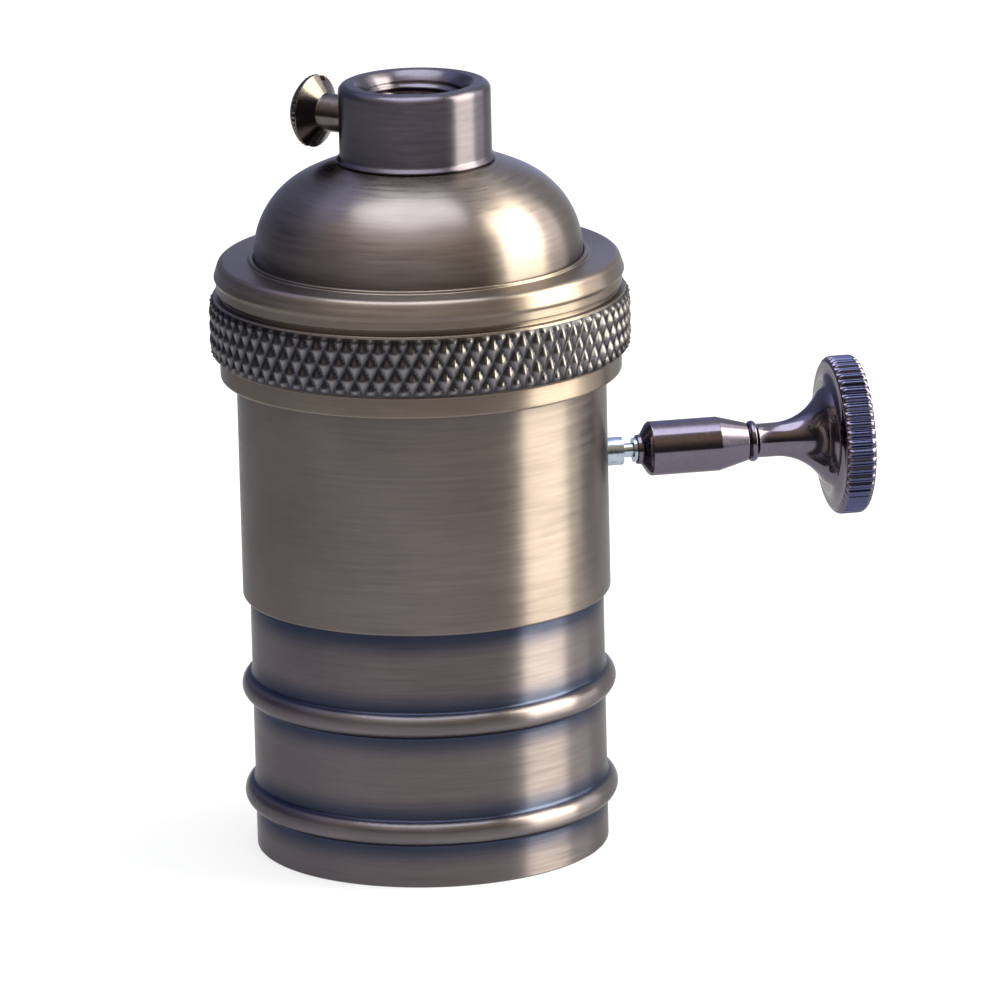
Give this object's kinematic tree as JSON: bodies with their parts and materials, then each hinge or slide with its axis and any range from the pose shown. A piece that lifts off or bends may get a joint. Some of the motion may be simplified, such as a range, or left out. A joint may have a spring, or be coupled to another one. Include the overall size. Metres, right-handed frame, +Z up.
{
  "type": "lamp holder",
  "caption": "Brass screw-in lamp holder with a domed cap, threaded neck, set screw, diamond-knurled clamp ring, beaded sleeve and a turn knob that works its switch.",
  "frame": {"origin": "on the holder's axis, at the rim of the lamp's mouth", "axes": "+Z up the holder towards the neck that hangs it, +X along the switch shaft towards the knob"},
  "size_m": [0.0696, 0.0444, 0.0823],
  "materials": {
    "antique_brass": "antique brass, brushed round the axis, dark patina",
    "knob_brass": "polished dark antique brass",
    "zinc_steel": "zinc plated",
    "spring_steel": "bright spring steel",
    "contact_brass": "plain rolled brass",
    "porcelain": "white glazed porcelain",
    "rotor_plastic": "moulded phenolic"
  },
  "bodies": {
    "holder": {"body_tube": "antique_brass", "lower_sleeve": "antique_brass", "dome_cap": "antique_brass", "neck": "antique_brass", "porcelain_core": "porcelain", "core_cover": "porcelain", "screw_shell": "contact_brass", "centre_contact": "contact_brass", "contact_rivet": "contact_brass", "fixed_contact": "contact_brass", "contact_leaf": "contact_brass", "live_strap": "contact_brass", "neutral_strap": "contact_brass", "live_terminal": "contact_brass", "neutral_terminal": "contact_brass", "detent_spring": "spring_steel", "leaf_screw": "zinc_steel", "shell_screw_left": "zinc_steel", "shell_screw_right": "zinc_steel", "cover_screw_left": "zinc_steel", "cover_screw_right": "zinc_steel", "live_screw": "zinc_steel", "neutral_screw": "zinc_steel"},
    "ring": {"clamp_ring": "antique_brass"},
    "screw": {"set_screw": "antique_brass"},
    "switch": {"switch_shaft": "zinc_steel", "rotor_cam": "rotor_plastic", "shaft_clip": "spring_steel", "knob": "knob_brass"}
  },
  "joints": [
    {"name": "knob_turn", "type": "hinge", "parent": "holder", "child": "switch", "pos_m": [0.0195, 0, 0.0409], "axis": [1, 0, 0], "continuous": true},
    {"name": "ring_unscrew", "type": "slide", "parent": "holder", "child": "ring", "axis": [0, 0, 1], "range_m": [0, 0.01]},
    {"name": "set_screw_travel", "type": "slide", "parent": "holder", "child": "screw", "axis": [-0.7071, 0.7071, 0], "range_m": [-0.001, 0.0025]}
  ]
}
